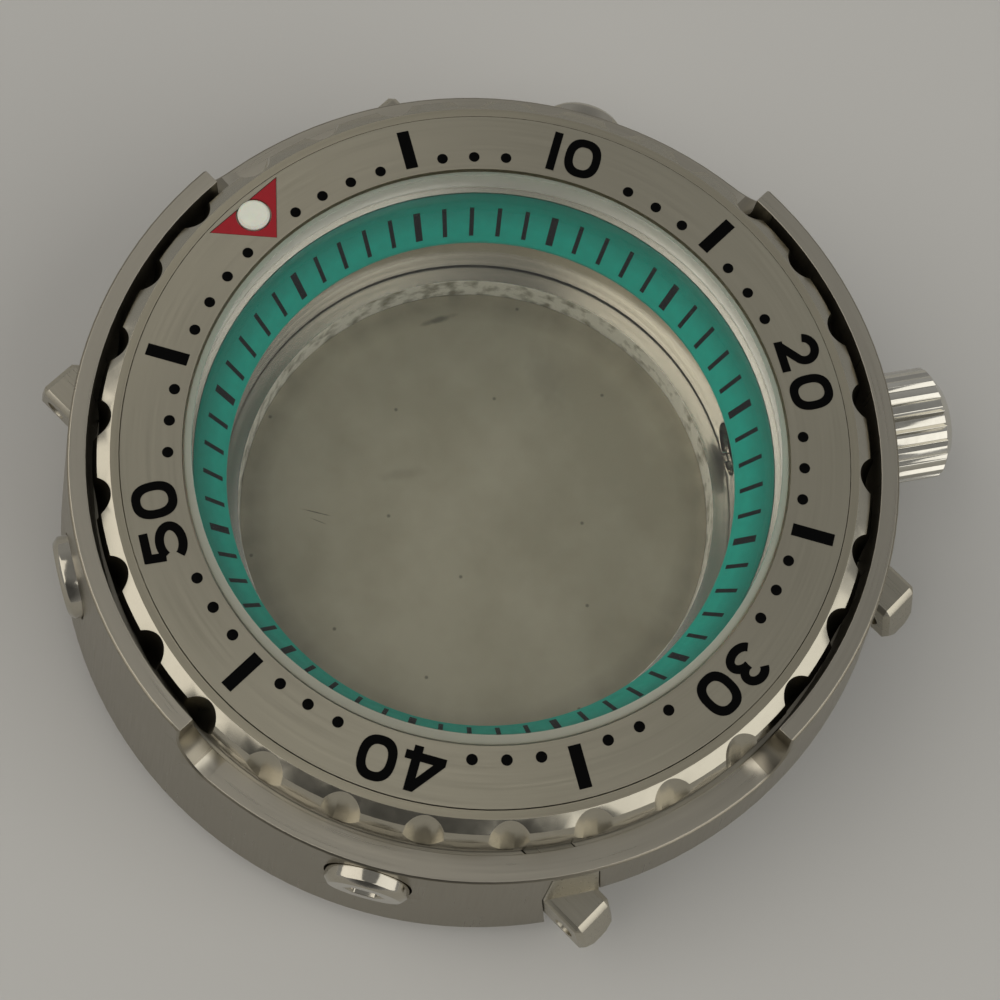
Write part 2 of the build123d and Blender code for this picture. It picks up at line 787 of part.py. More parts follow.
pieces = (
    mid_case,
    shroud,
    shroud_screws,
    crystal,
    crystal_gasket,
    chapter_ring,
    click_spring,
    bezel_ring,
    bezel_snap_ring,
    bezel_insert,
    lume_pip,
    crown_tube,
    tube_gasket,
    crown,
    crown_gasket,
    crown_retainer,
    crown_post,
    crown_spring,
    caseback,
    back_plate,
    caseback_gasket,
)
for piece in pieces:
    export_step(piece.part, f"parts/{piece.part.label}.step")
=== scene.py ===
import logging
import math
from dataclasses import dataclass
from enum import Enum

import bpy
from mathutils import Matrix, Vector


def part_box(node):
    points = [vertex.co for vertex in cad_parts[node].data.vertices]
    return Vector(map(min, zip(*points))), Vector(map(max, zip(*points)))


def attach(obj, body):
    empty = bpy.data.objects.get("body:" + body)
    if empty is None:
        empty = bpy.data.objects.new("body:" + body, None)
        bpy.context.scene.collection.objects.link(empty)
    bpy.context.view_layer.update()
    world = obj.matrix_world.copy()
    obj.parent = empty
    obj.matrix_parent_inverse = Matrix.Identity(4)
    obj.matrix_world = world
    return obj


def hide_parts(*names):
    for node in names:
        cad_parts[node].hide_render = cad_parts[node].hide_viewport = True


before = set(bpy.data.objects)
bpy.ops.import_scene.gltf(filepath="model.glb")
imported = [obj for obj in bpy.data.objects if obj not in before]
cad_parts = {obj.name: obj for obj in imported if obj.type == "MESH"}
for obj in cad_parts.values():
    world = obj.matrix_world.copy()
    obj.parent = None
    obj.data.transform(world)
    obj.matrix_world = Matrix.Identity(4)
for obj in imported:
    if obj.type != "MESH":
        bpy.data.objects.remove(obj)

logging.basicConfig(level=logging.INFO, format="%(message)s")
log = logging.getLogger("watch_case")

MM = 0.001
MINUTES = 60
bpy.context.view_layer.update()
CASE_REACH = 20 * MM  # radius at which lines that run round have their given length
FIRST, SECOND = 6, 7  # colour inputs of a Mix node
WELD_GAP = 0.001 * MM  # between points that are merged
FLAT_ANGLE = 0.15  # degrees between faces that are one face of the solid
SMOOTH_ANGLE = 35  # most degrees between faces that are shaded as one
EDGE_ANGLE = 25  # least degrees of a steel or glass edge that is broken
PRINT_ANGLE = 40  # least degrees of an edge of the printing that is rounded
LARGE_FACE_WEIGHT = 100  # so that large faces alone set the shading of their edges
EDGE_FACES = 2  # across a broken edge
ARC_STEP = 10  # degrees between the points of a digit's curves
BEND_LEAST = 0.5  # cosine that keeps the corner of a sharp bend short
DOT_SIDES = 24
HOLE_SIDES = 48
SENSOR_WIDTH = 36.0  # in millimetres


# Shader helpers


def linear(colour: str) -> tuple[float, float, float, float]:
    """Turns an sRGB hex colour into the linear colour that a shader socket takes.

    Args:
        colour: Six hex digits after a hash sign.

    Returns:
        Linear red, green and blue, and an alpha of one.
    """
    shares = [int(colour[place : place + 2], 16) / 255 for place in (1, 3, 5)]
    red, green, blue = (
        share / 12.92 if share <= 0.04045 else ((share + 0.055) / 1.055) ** 2.4
        for share in shares
    )
    return red, green, blue, 1.0


def fill(tree: bpy.types.NodeTree, node: bpy.types.Node, values: dict, links: dict) -> None:
    """Sets and feeds the inputs of a node.

    Args:
        tree: The node's tree.
        node: The node.
        values: Input socket to its value, where text is a hex colour.
        links: Input socket to the output that feeds it, or to a node, for its first active output.
    """
    for socket, value in values.items():
        node.inputs[socket].default_value = linear(value) if isinstance(value, str) else value
    for socket, source in links.items():
        if isinstance(source, bpy.types.Node):
            source = next(output for output in source.outputs if output.enabled)
        tree.links.new(source, node.inputs[socket])


def add_node(
    tree: bpy.types.NodeTree, kind: str, values: dict = {}, links: dict = {}, **settings
) -> bpy.types.Node:
    """Adds one shader node.

    Args:
        tree: The material's node tree.
        kind: The node's type name, without the words that all of them start with.
        values: Input socket to its value, as fill takes them.
        links: Input socket to its source, as fill takes them.
        **settings: Properties of the node itself.

    Returns:
        The new node.
    """
    node = tree.nodes.new("ShaderNode" + kind)
    for name, value in settings.items():
        setattr(node, name, value)
    fill(tree, node, values, links)
    return node


def new_material(name: str) -> tuple[bpy.types.NodeTree, bpy.types.Node]:
    """Makes an empty material with a Principled shader.

    Args:
        name: The material's name.

    Returns:
        Its node tree and its shader.
    """
    material = bpy.data.materials.new(name)
    material.use_nodes = True
    tree = material.node_tree
    tree.nodes.clear()
    shader = add_node(tree, "BsdfPrincipled")
    add_node(tree, "OutputMaterial", links={"Surface": shader})
    return tree, shader


def around(middle: float, spread: float) -> dict[str, float]:
    """Limits that a share moves a value between, such as a roughness that varies a little.

    Args:
        middle: The value that it varies about.
        spread: Its greatest change, as a share of that value.

    Returns:
        Inputs of a Map Range node.
    """
    return {"To Min": (1 - spread) * middle, "To Max": (1 + spread) * middle}


class Grain(Enum):
    """Way in which the lines of a metal finish run."""

    ROUND = "round the case's axis, as a turned or spun face has"
    UPRIGHT = "up the wall, across the axis, as a belt leaves them"
    ALONG = "along the lugs, from 6 to 12 o'clock"
    NONE = "in all directions, as a polishing wheel leaves them"


def polar_place(tree: bpy.types.NodeTree) -> tuple:
    """Works out where a point lies about the case's axis.

    Args:
        tree: The material's node tree.

    Returns:
        Sources of the point, its radius, its turn in radians and its height.
    """
    point = add_node(tree, "TexCoord").outputs["Object"]
    across, along, height = add_node(tree, "SeparateXYZ", links={0: point}).outputs
    flat = add_node(tree, "CombineXYZ", links={0: across, 1: along})
    radius = add_node(tree, "VectorMath", links={0: flat}, operation="LENGTH")
    turn = add_node(tree, "Math", links={0: along, 1: across}, operation="ARCTAN2")
    return point, radius, turn, height


def grain_lines(
    tree: bpy.types.NodeTree, grain: Grain, line: float, run: float, detail: float = 4.0
) -> bpy.types.Node:
    """Draws the lines of a finish, as noise that is stretched along them.

    Args:
        tree: The material's node tree.
        grain: Way that the lines run.
        line: Width of one line, in metres.
        run: Length of one line, in metres.
        detail: Number of finer octaves.

    Returns:
        The node that gives the lines as a share.
    """
    point, radius, turn, height = polar_place(tree)
    if grain in (Grain.ROUND, Grain.UPRIGHT):
        if grain is Grain.ROUND:
            scales = (1 / line, CASE_REACH / run, 1 / line)
        else:
            scales = (0.0, CASE_REACH / line, 1 / run)
        parts = [
            add_node(tree, "Math", {1: scale}, {0: axis}, operation="MULTIPLY")
            for axis, scale in zip((radius, turn, height), scales)
        ]
        place = add_node(tree, "CombineXYZ", links=dict(enumerate(parts)))
    else:
        stretch = (1 / line, 1 / run, 1 / line) if grain is Grain.ALONG else (1 / line,) * 3
        place = add_node(tree, "Mapping", {"Scale": stretch}, {"Vector": point})
    return add_node(tree, "TexNoise", {"Scale": 1.0, "Detail": detail}, {"Vector": place})


# Finishes


@dataclass(frozen=True)
class SteelFinish:
    """Stainless steel with the lines of a brush, a lathe or a polishing wheel.

    The lines and a soft cloud vary its colour, and the lines also its gloss.
    """

    name: str
    dark: str = "#a9a494"
    light: str = "#b7b1a2"
    roughness: float = 0.3
    grain: Grain = Grain.ROUND
    line: float = 0.14 * MM
    run: float = 9 * MM
    depth: float = 2e-6
    stretch: float = 0.5
    cloud: float = 6 * MM
    light_least: float = -0.35  # share of the light colour
    light_most: float = 0.65
    spread: float = 0.25
    upright_turn: float = 0.25  # of the stretched highlight, in full turns

    def build(self) -> bpy.types.Material:
        """Makes the material."""
        tree, shader = new_material(self.name)
        point = polar_place(tree)[0]
        lines = grain_lines(tree, self.grain, self.line, self.run)
        cloud = add_node(
            tree, "TexNoise", {"Scale": 1 / self.cloud, "Detail": 3.0}, {"Vector": point}
        )
        worn = add_node(tree, "Math", links={0: lines, 1: cloud}, operation="ADD")
        limits = {"To Min": self.light_least, "To Max": self.light_most}
        share = add_node(tree, "MapRange", limits, {"Value": worn})
        colours = {FIRST: self.dark, SECOND: self.light}
        colour = add_node(tree, "Mix", colours, {0: share}, data_type="RGBA")
        rough = add_node(tree, "MapRange", around(self.roughness, self.spread), {"Value": lines})
        raised = add_node(tree, "Bump", {"Distance": self.depth}, {"Height": lines})
        links = {"Base Color": colour, "Roughness": rough, "Normal": raised}
        fill(tree, shader, {"Metallic": 1.0}, links)
        if self.grain is not Grain.NONE:
            tangent = add_node(tree, "Tangent", direction_type="RADIAL", axis="Z")
            fill(tree, shader, {"Anisotropic": self.stretch}, {"Tangent": tangent})
        if self.grain is Grain.UPRIGHT:
            fill(tree, shader, {"Anisotropic Rotation": self.upright_turn}, {})
        return bpy.data.materials[self.name]


@dataclass(frozen=True)
class Blemish:
    """A long oval mark: its middle, half length and half width, in metres.

    Its turn is in degrees, and its strength the share of the spot's colour.
    """

    across: float
    up: float
    length: float
    width: float
    turn: float
    strength: float


@dataclass(frozen=True)
class WornFloorSteel:
    """Turned steel with a dull stained middle, as the inside of a used back has.

    It gives a grey-green satin floor with soft clouds, a few scratches and specks, and
    blotchy darkening towards its rim.
    """

    name: str = "stained_plate_steel"
    clean: str = "#b3ad99"
    stained: str = "#a39d89"
    spot: str = "#45433a"
    roughness: float = 0.5
    spread: float = 0.2
    depth: float = 1e-6
    stain_size: float = 6 * MM
    stain_levels: tuple = (0.35, 0.65)  # of the noise, from clean to stained
    speck_gap: float = 6.5 * MM
    speck_levels: tuple = (0.02, 0.01)  # edge and core, as shares of the gap
    speck_strength: float = 0.6
    patch_size: float = 1.6 * MM
    # darker in blotches towards the plate's rim: its greatest share, where it starts and where it is
    # full
    rim_dark_share: float = 0.5
    rim_dark_start: float = 11.6 * MM
    rim_dark_end: float = 12.7 * MM
    fray: float = 0.5 * MM
    mark_levels: tuple = (1.6, 0.9)  # edge and core of a blemish, in half lengths
    blemishes: tuple = (
        Blemish(-6.6 * MM, 6.1 * MM, 0.9 * MM, 0.04 * MM, -58, 0.8),
        Blemish(-6.9 * MM, 5.7 * MM, 0.6 * MM, 0.03 * MM, -66, 0.6),
        Blemish(6.7 * MM, 9.8 * MM, 1.1 * MM, 0.22 * MM, -25, 0.6),
        Blemish(8.6 * MM, 2.8 * MM, 2.2 * MM, 1.0 * MM, 60, 0.14),
        Blemish(-1.5 * MM, 4.4 * MM, 1.5 * MM, 0.35 * MM, -35, 0.16),
    )

    def mark(self, tree: bpy.types.NodeTree, point: object, blemish: Blemish) -> bpy.types.Node:
        """Shapes one blemish.

        Args:
            tree: The material's node tree.
            point: The point's source.
            blemish: The blemish.

        Returns:
            The node with its share, which fades at its ragged edge.
        """
        placed = add_node(
            tree,
            "Mapping",
            {
                "Location": (blemish.across, blemish.up, 0),
                "Rotation": (0, 0, math.radians(blemish.turn)),
                "Scale": (blemish.length, blemish.width, 1),
            },
            {"Vector": point},
            vector_type="TEXTURE",
        )
        reach = add_node(tree, "VectorMath", links={0: placed}, operation="LENGTH")
        fray = add_node(
            tree, "TexNoise", {"Scale": 1 / self.fray, "Detail": 3.0}, {"Vector": point}
        )
        ragged = add_node(tree, "Math", links={0: reach, 1: fray}, operation="ADD")
        edge, core = self.mark_levels
        levels = {"From Min": edge, "From Max": core, "To Max": blemish.strength}
        return add_node(tree, "MapRange", levels, {"Value": ragged})

    def build(self) -> bpy.types.Material:
        """Makes the material."""
        tree, shader = new_material(self.name)
        point, radius, _, _ = polar_place(tree)
        stain, patches = (
            add_node(tree, "TexNoise", {"Scale": 1 / size, "Detail": 4.0}, {"Vector": point})
            for size in (self.stain_size, self.patch_size)
        )
        levels = dict(zip(("From Min", "From Max"), self.stain_levels))
        share = add_node(tree, "MapRange", levels, {"Value": stain})
        colours = {FIRST: self.clean, SECOND: self.stained}
        colour = add_node(tree, "Mix", colours, {0: share}, data_type="RGBA")
        # Darker in blotches towards the plate's rim.
        rim = {"From Min": self.rim_dark_start, "From Max": self.rim_dark_end, "To Max": self.rim_dark_share}
        near_rim = add_node(tree, "MapRange", rim, {"Value": radius})
        rim_darkening = add_node(tree, "Math", links={0: near_rim, 1: patches}, operation="MULTIPLY")
        cells = add_node(
            tree,
            "TexVoronoi",
            {"Scale": 1 / self.speck_gap},
            {"Vector": point},
            voronoi_dimensions="2D",
        )
        edge, core = self.speck_levels
        levels = {"From Min": edge, "From Max": core, "To Max": self.speck_strength}
        speck = add_node(tree, "MapRange", levels, {"Value": cells})
        marks = [self.mark(tree, point, blemish) for blemish in self.blemishes]
        for dark_mark in (*marks, rim_darkening, speck):
            links = {0: dark_mark, FIRST: colour}
            colour = add_node(tree, "Mix", {SECOND: self.spot}, links, data_type="RGBA")
        rough = add_node(tree, "MapRange", around(self.roughness, self.spread), {"Value": stain})
        raised = add_node(tree, "Bump", {"Distance": self.depth}, {"Height": patches})
        links = {"Base Color": colour, "Roughness": rough, "Normal": raised}
        fill(tree, shader, {"Metallic": 1.0}, links)
        return bpy.data.materials[self.name]


@dataclass(frozen=True)
class BackSteel:
    """Steel of the back's ring: bright and turned, with a pale, blotched wall inside the case."""

    name: str = "turned_back_steel"
    dark: str = "#c4bfb1"
    light: str = "#e3dfd4"
    blotch: str = "#9d9886"
    bright: str = "#f4f1e8"
    roughness: float = 0.26
    wall_roughness: float = 0.5
    wall_bareness: float = 0.45
    line: float = 0.2 * MM
    run: float = 9 * MM
    depth: float = 2e-6
    mottle: float = 0.9 * MM
    blotch_levels: tuple = (0.47, 0.68)  # of the noise, from bright to blotched
    wall_foot: float = 0.4 * MM
    wall_radius: float = 13.37 * MM

    def build(self) -> bpy.types.Material:
        """Makes the material."""
        tree, shader = new_material(self.name)
        point, radius, _, height = polar_place(tree)
        turned = grain_lines(tree, Grain.ROUND, self.line, self.run)
        mottle = add_node(
            tree, "TexNoise", {"Scale": 1 / self.mottle, "Detail": 4.0}, {"Vector": point}
        )
        levels = dict(zip(("From Min", "From Max"), self.blotch_levels))
        spots = add_node(tree, "MapRange", levels, {"Value": mottle})
        raised = add_node(
            tree, "Math", {1: self.wall_foot}, {0: height}, operation="GREATER_THAN"
        )
        within = add_node(
            tree, "Math", {1: self.wall_radius}, {0: radius}, operation="LESS_THAN"
        )
        wall = add_node(tree, "Math", links={0: raised, 1: within}, operation="MULTIPLY")
        plain, blotched = (
            add_node(tree, "Mix", {FIRST: first, SECOND: second}, {0: share}, data_type="RGBA")
            for first, second, share in (
                (self.dark, self.light, turned),
                (self.bright, self.blotch, spots),
            )
        )
        links = {0: wall, FIRST: plain, SECOND: blotched}
        colour = add_node(tree, "Mix", links=links, data_type="RGBA")
        rough, bare = (
            add_node(tree, "MapRange", {"To Min": plainly, "To Max": on_wall}, {"Value": wall})
            for plainly, on_wall in (
                (self.roughness, self.wall_roughness),
                (1.0, self.wall_bareness),
            )
        )
        bumps = add_node(tree, "Bump", {"Distance": self.depth}, {"Height": turned})
        links = {"Base Color": colour, "Roughness": rough, "Metallic": bare, "Normal": bumps}
        fill(tree, shader, {}, links)
        return bpy.data.materials[self.name]


@dataclass(frozen=True)
class CaseSteel:
    """Steel of the mid case: brushed along the lugs, and turned bright in rings in its bores."""

    name: str = "case_316l_steel"
    dark: str = "#a9a494"
    light: str = "#b7b1a2"
    bore_dark: str = "#b9b5a8"
    bore_light: str = "#ece8de"
    roughness: float = 0.3
    spread: float = 0.3
    bore_roughness: float = 0.15
    bore_spread: float = 0.4
    bore_radius: float = 16.4 * MM
    line: float = 0.12 * MM
    run: float = 8 * MM
    bore_run: float = 12 * MM
    band: float = 0.45 * MM
    band_run: float = 90 * MM
    depth: float = 2e-6

    def build(self) -> bpy.types.Material:
        """Makes the material."""
        tree, shader = new_material(self.name)
        radius = polar_place(tree)[1]
        inside = add_node(
            tree, "Math", {1: self.bore_radius}, {0: radius}, operation="LESS_THAN"
        )
        along = grain_lines(tree, Grain.ALONG, self.line, self.run)
        turned = grain_lines(tree, Grain.ROUND, self.line, self.bore_run)
        bands = grain_lines(tree, Grain.ROUND, self.band, self.band_run, 1.0)
        outer, inner = (
            add_node(tree, "Mix", {FIRST: dark, SECOND: light}, {0: share}, data_type="RGBA")
            for dark, light, share in (
                (self.dark, self.light, along),
                (self.bore_dark, self.bore_light, bands),
            )
        )
        links = {0: inside, FIRST: outer, SECOND: inner}
        colour = add_node(tree, "Mix", links=links, data_type="RGBA")
        outer_rough, inner_rough = (
            add_node(tree, "MapRange", around(middle, spread), {"Value": share})
            for middle, spread, share in (
                (self.roughness, self.spread, along),
                (self.bore_roughness, self.bore_spread, bands),
            )
        )
        rough, lines = (
            add_node(tree, "Mix", links={0: inside, 2: first, 3: second}, data_type="FLOAT")
            for first, second in ((outer_rough, inner_rough), (along, turned))
        )
        raised = add_node(tree, "Bump", {"Distance": self.depth}, {"Height": lines})
        links = {"Base Color": colour, "Roughness": rough, "Normal": raised}
        fill(tree, shader, {"Metallic": 1.0}, links)
        return bpy.data.materials[self.name]


@dataclass(frozen=True)
class Paint:
    """Lacquer, ink, plastic or rubber: a coloured coat with a little unevenness, and a darker rim
    colour where one is given, which on the chapter ring is partly painted shade.
    """

    name: str
    colour: str
    shade: str
    roughness: float = 0.4
    coat: float = 0.0
    speck: float = 0.5 * MM
    depth: float = 1e-6
    subsurface: float = 0.0
    shine: float = 0.5
    rim: str = ""
    rim_start: float = 0.0
    rim_end: float = 0.0
    spread: float = 0.2
    light_depth: float = 0.5 * MM

    def build(self) -> bpy.types.Material:
        """Makes the material."""
        tree, shader = new_material(self.name)
        point, radius, _, _ = polar_place(tree)
        grain = add_node(
            tree, "TexNoise", {"Scale": 1 / self.speck, "Detail": 4.0}, {"Vector": point}
        )
        colours = {FIRST: self.colour, SECOND: self.shade}
        colour = add_node(tree, "Mix", colours, {0: grain}, data_type="RGBA")
        # The rim colour darkens the coat towards its outer edge: on the chapter ring partly a fumé
        # tone, partly painted shade.
        if self.rim:
            levels = {"From Min": self.rim_start, "From Max": self.rim_end}
            toward_fume_and_shade = add_node(tree, "MapRange", levels, {"Value": radius})
            links = {0: toward_fume_and_shade, FIRST: colour}
            colour = add_node(tree, "Mix", {SECOND: self.rim}, links, data_type="RGBA")
        rough = add_node(tree, "MapRange", around(self.roughness, self.spread), {"Value": grain})
        raised = add_node(tree, "Bump", {"Distance": self.depth}, {"Height": grain})
        values = {
            "Coat Weight": self.coat,
            "Subsurface Weight": self.subsurface,
            "Subsurface Scale": self.light_depth,
            "Specular IOR Level": self.shine,
        }
        links = {"Base Color": colour, "Roughness": rough, "Normal": raised}
        fill(tree, shader, values, links)
        return bpy.data.materials[self.name]


@dataclass(frozen=True)
class MineralGlass:
    """Hardened mineral glass with a polished face, or the pale ground edge round it."""

    name: str = "mineral_glass"
    colour: str = "#fafbfa"
    ior: float = 1.52
    roughness: float = 0.01
    clear: float = 1.0
    shine: float = 0.3
    smear: float = 7 * MM

    def build(self) -> bpy.types.Material:
        """Makes the material. Shadow rays pass through, so that light reaches the inside."""
        tree, shader = new_material(self.name)
        point = polar_place(tree)[0]
        smear = add_node(
            tree, "TexNoise", {"Scale": 1 / self.smear, "Detail": 3.0}, {"Vector": point}
        )
        limits = {"To Min": self.roughness, "To Max": 2 * self.roughness}
        rough = add_node(tree, "MapRange", limits, {"Value": smear})
        values = {
            "Base Color": self.colour,
            "IOR": self.ior,
            "Transmission Weight": self.clear,
            "Specular IOR Level": self.shine,
        }
        fill(tree, shader, values, {"Roughness": rough})
        shadow = add_node(tree, "LightPath").outputs["Is Shadow Ray"]
        clear = add_node(tree, "BsdfTransparent", {"Color": self.colour})
        mixed = add_node(tree, "MixShader", links={0: shadow, 1: shader, 2: clear})
        output = next(node for node in tree.nodes if node.type == "OUTPUT_MATERIAL")
        fill(tree, output, {}, {"Surface": mixed})
        return bpy.data.materials[self.name]


# Modelling helpers


def activate(piece: bpy.types.Object) -> None:
    """Selects one object alone and makes it the active one."""
    bpy.ops.object.select_all(action="DESELECT")
    piece.select_set(True)
    bpy.context.view_layer.objects.active = piece


def settle(piece: bpy.types.Object) -> None:
    """Puts a piece's place, turn and size into its mesh."""
    activate(piece)
    bpy.ops.object.transform_apply(location=True, rotation=True, scale=True)


def join(pieces: list[bpy.types.Object], name: str) -> bpy.types.Object:
    """Joins copies into one piece with its origin at the frame's origin.

    Args:
        pieces: Objects to join.
        name: Name of the result.

    Returns:
        The joined object.
    """
    for piece in pieces:
        settle(piece)
    bpy.ops.object.select_all(action="DESELECT")
    for piece in pieces:
        piece.select_set(True)
    bpy.context.view_layer.objects.active = pieces[0]
    bpy.ops.object.join()
    joined = bpy.context.view_layer.objects.active
    joined.name = name
    joined.data.name = name
    return joined


def copy_round(model: bpy.types.Object, minutes: list[float], name: str) -> bpy.types.Object:
    """Copies a piece that was modelled at 12 o'clock to other minutes and joins the copies.

    Args:
        model: The piece at 12 o'clock, with its place in its mesh.
        minutes: Places on the dial.
        name: Name of the joined piece.

    Returns:
        The joined piece.
    """
    copies = []
    for minute in minutes:
        copy = model.copy()
        copy.data = model.data.copy()
        bpy.context.scene.collection.objects.link(copy)
        copy.rotation_euler = (0, 0, -2 * math.pi * minute / MINUTES)
        copies.append(copy)
    bpy.data.objects.remove(model)
    return join(copies, name)


def bevel_edges(piece: bpy.types.Object, width: float, angle: float) -> None:
    """Rounds a piece's edges with an applied Bevel modifier.

    Args:
        piece: The piece.
        width: Width of the bevel, in metres, which shrinks where bevels would meet.
        angle: Least angle of an edge that is rounded, in degrees.
    """
    activate(piece)
    modifier = piece.modifiers.new("bevel", "BEVEL")
    modifier.width = width
    modifier.segments = EDGE_FACES
    modifier.limit_method = "ANGLE"
    modifier.angle_limit = math.radians(angle)
    modifier.use_clamp_overlap = True
    bpy.ops.object.modifier_apply(modifier=modifier.name)


def combine(piece: bpy.types.Object, other: bpy.types.Object, operation: str) -> None:
    """Unites a piece with another or cuts the other out of it, and removes the other.

    Args:
        piece: The piece that is changed.
        other: The piece that is used up.
        operation: Name of the Boolean modifier's operation.
    """
    activate(piece)
    modifier = piece.modifiers.new("combine", "BOOLEAN")
    modifier.object = other
    modifier.operation = operation
    modifier.solver = "EXACT"
    bpy.ops.object.modifier_apply(modifier=modifier.name)
    bpy.data.objects.remove(other)


def finish_piece(
    piece: bpy.types.Object, material: bpy.types.Material, body: str
) -> None:
    """Gives a new piece its smooth shading, material and body.

    Args:
        piece: The piece.
        material: Its finish.
        body: The CAD body that it rides on.
    """
    settle(piece)
    bpy.ops.object.shade_smooth_by_angle(angle=math.radians(SMOOTH_ANGLE))
    flat = piece.modifiers.new("flat", "WEIGHTED_NORMAL")
    flat.keep_sharp = True
    flat.weight = LARGE_FACE_WEIGHT
    bpy.ops.object.modifier_apply(modifier=flat.name)
    piece.data.materials.clear()
    piece.data.materials.append(material)
    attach(piece, body)
    log.info("built %s with %d faces", piece.name, len(piece.data.polygons))


def refine(node: str, name: str, width: float) -> bpy.types.Object:
    """Copies a CAD node and breaks its sharp edges, as a finisher does.

    Args:
        node: The node's name.
        name: Name of the copy.
        width: Width of the broken edges, in metres.

    Returns:
        The copy, which stands for the node.
    """
    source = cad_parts[node]
    piece = bpy.data.objects.new(name, source.data.copy())
    bpy.context.scene.collection.objects.link(piece)
    activate(piece)
    bpy.ops.object.mode_set(mode="EDIT")
    bpy.ops.mesh.select_all(action="SELECT")
    bpy.ops.mesh.remove_doubles(threshold=WELD_GAP)
    bpy.ops.mesh.dissolve_limited(angle_limit=math.radians(FLAT_ANGLE))
    bpy.ops.object.mode_set(mode="OBJECT")
    bevel_edges(piece, width, EDGE_ANGLE)
    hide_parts(node)
    return piece


def face_up(piece: bpy.types.Object, material: bpy.types.Material, least: float) -> None:
    """Gives the faces of a piece that look up a finish of their own.

    Args:
        piece: The piece.
        material: Finish of those faces.
        least: Least upward part of their normals.
    """
    piece.data.materials.append(material)
    for face in piece.data.polygons:
        if face.normal.z > least:
            face.material_index = 1


def dress(node: str, material: bpy.types.Material) -> None:
    """Gives a CAD node its finish.

    Args:
        node: The node's name.
        material: Its finish.
    """
    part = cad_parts[node]
    part.data.materials.clear()
    part.data.materials.append(material)
    log.info("dressed %s in %s", node, material.name)


# Sub-assemblies


@dataclass
class Case:
    """Mid case, shroud and screws, with everything that is fixed to them."""

    edge: float = 0.08 * MM
    case_edge: float = 0.12 * MM
    rim_least: float = 0.9  # upward part of a rim face's normal
    steel: CaseSteel = CaseSteel()
    # Belt-brushed 316L steel with soft upright streaks, the same steel as the rim; its darker colour
    # is painted shade
    shaded_wall_steel: SteelFinish = SteelFinish(
        "upright_brushed_shaded_steel",
        dark="#857f70",
        light="#969082",
        roughness=0.3,
        grain=Grain.UPRIGHT,
        run=5 * MM,
    )
    # Turned 316L steel: a lighter satin rim with fine rings
    rim_steel: SteelFinish = SteelFinish(
        "round_brushed_steel", dark="#b3ad9d", light="#c3bdae", roughness=0.3, run=7 * MM
    )
    # Polished screw steel: small bright heads with soft glints
    screw_steel: SteelFinish = SteelFinish(
        "turned_screw_steel", dark="#a8a396", light="#bcb7aa", roughness=0.12, grain=Grain.NONE
    )
    # Cold-rolled spring steel: even, dull and a little cloudy
    spring_steel: SteelFinish = SteelFinish(
        "rolled_spring_steel", roughness=0.25, grain=Grain.NONE, line=0.3 * MM
    )

    def build(self) -> None:
        """Finishes the case, its shroud and screws and dresses its springs."""
        case = refine("mid_case", "mid_case_finished", self.case_edge)
        finish_piece(case, self.steel.build(), "case")
        shroud = refine("shroud", "shroud_finished", self.edge)
        # The wall's darker colour is painted shade; the upward faces get the plain lighter steel.
        finish_piece(shroud, self.shaded_wall_steel.build(), "case")
        face_up(shroud, self.rim_steel.build(), self.rim_least)
        screws = refine("shroud_screws", "shroud_screws_finished", self.edge)
        finish_piece(screws, self.screw_steel.build(), "case")
        spring = self.spring_steel.build()
        for node in ("click_spring", "bezel_snap_ring", "crown_spring"):
            dress(node, spring)


